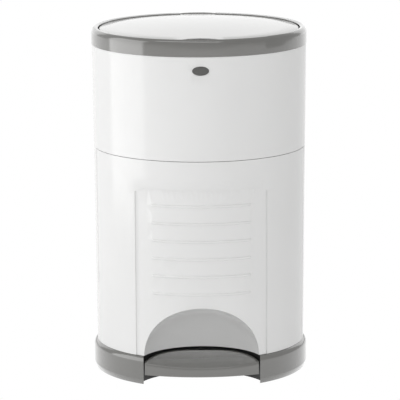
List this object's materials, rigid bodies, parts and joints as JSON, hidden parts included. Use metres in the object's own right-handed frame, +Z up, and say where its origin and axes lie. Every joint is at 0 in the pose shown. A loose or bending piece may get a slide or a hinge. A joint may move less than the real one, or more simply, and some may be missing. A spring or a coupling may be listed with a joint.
{
  "type": "nappy bin",
  "caption": "Round pedal nappy bin with a domed lid in a collar ring, trap flaps, refill tray, hinged front door and foot pedal.",
  "frame": {"origin": "centre of the footprint on the floor", "axes": "+Z up, front with the pedal towards -Y, +X to the right of someone facing the front"},
  "size_m": [0.36, 0.36, 0.586],
  "materials": {
    "white_plastic": "gloss, smooth moulded",
    "lid_plastic": "gloss, smooth moulded",
    "grey_plastic": "satin gloss, moulded",
    "button_plastic": "satin, moulded",
    "black_plastic": "fine moulded texture",
    "inner_plastic": "satin, moulded",
    "cutter_plastic": "satin, moulded",
    "blade_steel": "ground",
    "foot_rubber": "dull",
    "seal_rubber": "dull",
    "pin_steel": "drawn, zinc plated",
    "spring_steel": "drawn wire",
    "screw_steel": "zinc plated"
  },
  "bodies": {
    "frame": {"base_ring": "grey_plastic", "base_plate": "black_plastic", "rubber_feet": "foot_rubber", "base_screws": "screw_steel", "pedal_axle": "pin_steel", "pedal_springs": "spring_steel", "lower_shell": "white_plastic", "upper_shell": "white_plastic", "shell_screws": "screw_steel", "door_hinge_pins": "pin_steel", "rod_guide": "inner_plastic", "liner_holder": "inner_plastic", "collar_hinge_pin": "pin_steel", "button_spring": "spring_steel"},
    "door": {"front_door": "white_plastic", "door_latch": "inner_plastic", "cutter_body": "cutter_plastic", "cutter_blade": "blade_steel"},
    "pedal": {"foot_pedal": "grey_plastic"},
    "rod": {"push_rod": "pin_steel"},
    "collar": {"collar_ring": "grey_plastic", "inner_deck": "inner_plastic", "collar_screws": "screw_steel", "trap_pins": "pin_steel", "trap_springs": "spring_steel", "lid_hinge_pin": "pin_steel", "collar_latch": "inner_plastic"},
    "lid": {"lid": "lid_plastic", "lid_seal": "seal_rubber"},
    "flap_left": {"trap_flap_left": "inner_plastic"},
    "flap_right": {"trap_flap_right": "inner_plastic"},
    "button": {"release_button": "button_plastic"}
  },
  "joints": [
    {"name": "lid_hinge", "type": "hinge", "parent": "collar", "child": "lid", "pos_m": [0, 0.1705, 0.5745], "axis": [-1, 0, 0], "range_deg": [0, 75]},
    {"name": "pedal_pivot", "type": "hinge", "parent": "frame", "child": "pedal", "pos_m": [0, 0.02, 0.02], "axis": [1, 0, 0], "range_deg": [0, 3.95]},
    {"name": "rod_slide", "type": "slide", "parent": "frame", "child": "rod", "axis": [0, 0, 1], "range_m": [0, 0.0099]},
    {"name": "trap_left_hinge", "type": "hinge", "parent": "collar", "child": "flap_left", "pos_m": [-0.088, 0, 0.547], "axis": [0, 1, 0], "range_deg": [0, 80]},
    {"name": "trap_right_hinge", "type": "hinge", "parent": "collar", "child": "flap_right", "pos_m": [0.088, 0, 0.547], "axis": [0, -1, 0], "range_deg": [0, 80]},
    {"name": "collar_hinge", "type": "hinge", "parent": "frame", "child": "collar", "pos_m": [0, 0.1735, 0.558], "axis": [-1, 0, 0], "range_deg": [0, 75]},
    {"name": "door_hinge", "type": "hinge", "parent": "frame", "child": "door", "pos_m": [-0.16604, -0.04294, 0.213], "axis": [0, 0, -1], "range_deg": [0, 90]},
    {"name": "button_slide", "type": "slide", "parent": "frame", "child": "button", "axis": [0, 1, 0], "range_m": [0, 0.004], "stiffness_N_per_m": 300, "springref_m": -0.002, "deforming": ["button_spring"]}
  ],
  "couplings": [
    {"joint": "pedal_pivot", "follows": "lid_hinge", "ratio": 0.0525},
    {"joint": "rod_slide", "follows": "lid_hinge", "m_per_rad": 0.0075},
    {"joint": "trap_left_hinge", "follows": "lid_hinge", "ratio": 1.06},
    {"joint": "trap_right_hinge", "follows": "lid_hinge", "ratio": 1.06}
  ]
}
